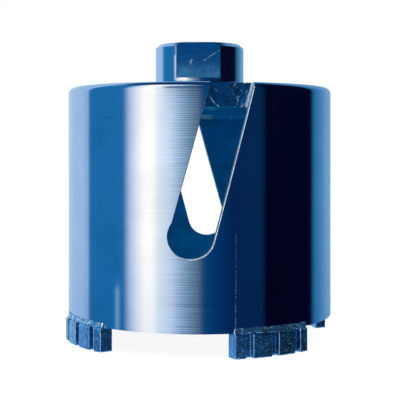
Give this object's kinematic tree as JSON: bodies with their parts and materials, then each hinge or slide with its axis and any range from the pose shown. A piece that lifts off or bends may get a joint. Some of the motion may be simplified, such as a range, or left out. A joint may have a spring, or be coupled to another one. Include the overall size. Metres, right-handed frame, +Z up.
{
  "type": "diamond core bit",
  "caption": "Steel cup on a threaded hub with two slanted slots and four grooved diamond segments, for dry drilling of round socket openings in masonry.",
  "frame": {"origin": "on the drilling axis, in the plane of the segment tips that the bit stands on", "axes": "+Z up the drilling axis from the segment tips to the hub; the hub's two flats face -Y and +Y; +X to the right of someone who looks along +Y"},
  "size_m": [0.08, 0.08, 0.0883],
  "materials": {
    "barrel_steel": "turned steel under a clear blue lacquer, with fine lines around the barrel",
    "plate_steel": "turned and milled steel, blue lacquered",
    "hub_steel": "turned and milled steel, blue lacquered, scratched on the flats",
    "weld_steel": "smooth weld bead, blue lacquered",
    "diamond_matrix": "sintered metal with diamond grit, rough and speckled",
    "braze_alloy": "lumpy silver braze, satin with bright specks"
  },
  "bodies": {
    "root": {"barrel": "barrel_steel", "end_plate": "plate_steel", "hub": "hub_steel", "hub_weld": "weld_steel", "plate_weld": "weld_steel", "segment_1": "diamond_matrix", "segment_2": "diamond_matrix", "segment_3": "diamond_matrix", "segment_4": "diamond_matrix", "segment_braze_1": "braze_alloy", "segment_braze_2": "braze_alloy", "segment_braze_3": "braze_alloy", "segment_braze_4": "braze_alloy"}
  },
  "joints": []
}
